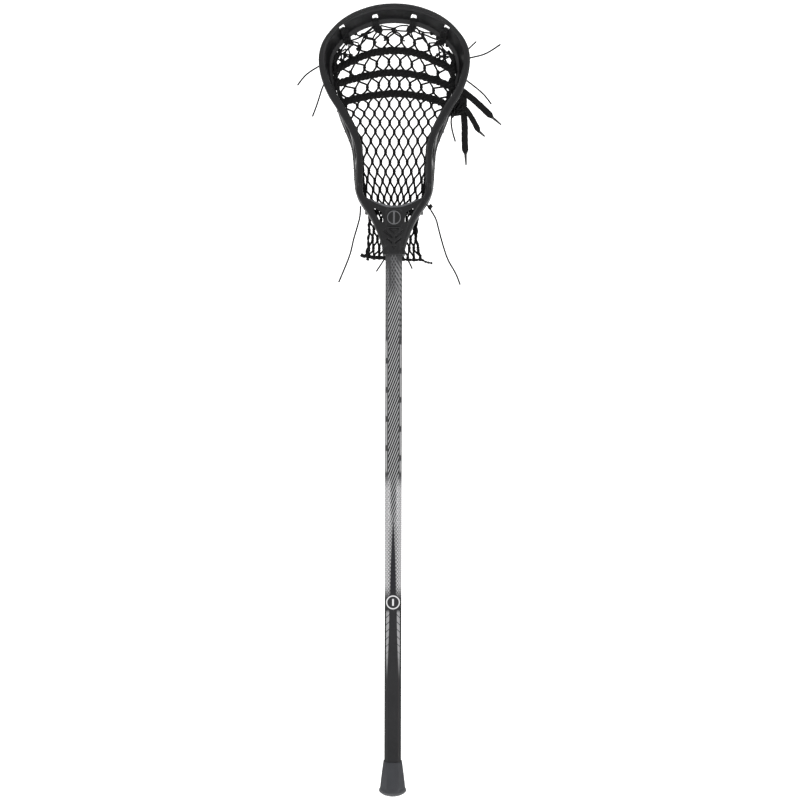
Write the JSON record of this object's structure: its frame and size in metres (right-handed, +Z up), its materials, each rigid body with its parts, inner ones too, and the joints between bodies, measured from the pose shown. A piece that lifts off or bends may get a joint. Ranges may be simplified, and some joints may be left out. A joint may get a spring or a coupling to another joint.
{
  "type": "lacrosse stick",
  "caption": "Lacrosse stick: an open moulded head with a string mesh pocket and shooting laces on an octagonal metal shaft with a rubber butt cap.",
  "frame": {"origin": "Centre of the butt end, on the shaft's axis, where the lower hand closes round the cap and shaft.", "axes": "+Z runs up the shaft from the butt end to the scoop. -Y is the open face of the head and +Y is the side that the pocket hangs to. +X is to the right when looking into the open face."},
  "size_m": [0.2723, 0.0861, 1.0366],
  "materials": {
    "shaft_alloy": "satin",
    "cap_rubber": "matt",
    "head_nylon": "satin",
    "pad_foam": "matt",
    "badge_print": "satin",
    "screw_steel": "satin",
    "mesh_fibre": "matt",
    "lace_fibre": "matt",
    "string_fibre": "matt",
    "tip_plastic": "gloss"
  },
  "bodies": {
    "stick": {"shaft": "shaft_alloy", "head_frame": "head_nylon", "ball_stop_pad": "pad_foam", "throat_badge": "badge_print", "head_screw": "screw_steel", "mesh_pocket": "mesh_fibre", "mesh_tail": "mesh_fibre", "tail_hem_left": "string_fibre", "tail_hem_right": "string_fibre", "sidewall_string_left": "string_fibre", "sidewall_string_right": "string_fibre", "top_string": "string_fibre", "throat_string": "string_fibre", "shooting_lace_upper": "lace_fibre", "shooting_lace_middle": "lace_fibre", "shooting_lace_lower": "lace_fibre", "string_end_left_upper": "string_fibre", "string_end_left_lower": "string_fibre", "string_end_right_upper": "string_fibre", "string_end_right_middle": "string_fibre", "string_end_right_lower": "string_fibre", "throat_string_end_left": "string_fibre", "throat_string_end_right": "string_fibre", "throat_string_knot": "string_fibre", "string_stub_right_top": "string_fibre", "tail_stub_left": "string_fibre", "tail_stub_right": "string_fibre", "lace_tail_side": "lace_fibre", "lace_tail_middle": "lace_fibre", "lace_tail_down": "lace_fibre", "lace_tip_side": "tip_plastic", "lace_tip_middle": "tip_plastic", "lace_tip_down": "tip_plastic"},
    "cap": {"butt_cap": "cap_rubber"}
  },
  "joints": [
    {"name": "cap_pull", "type": "slide", "parent": "stick", "child": "cap", "axis": [0, 0, -1], "range_m": [0, 0.055]}
  ]
}
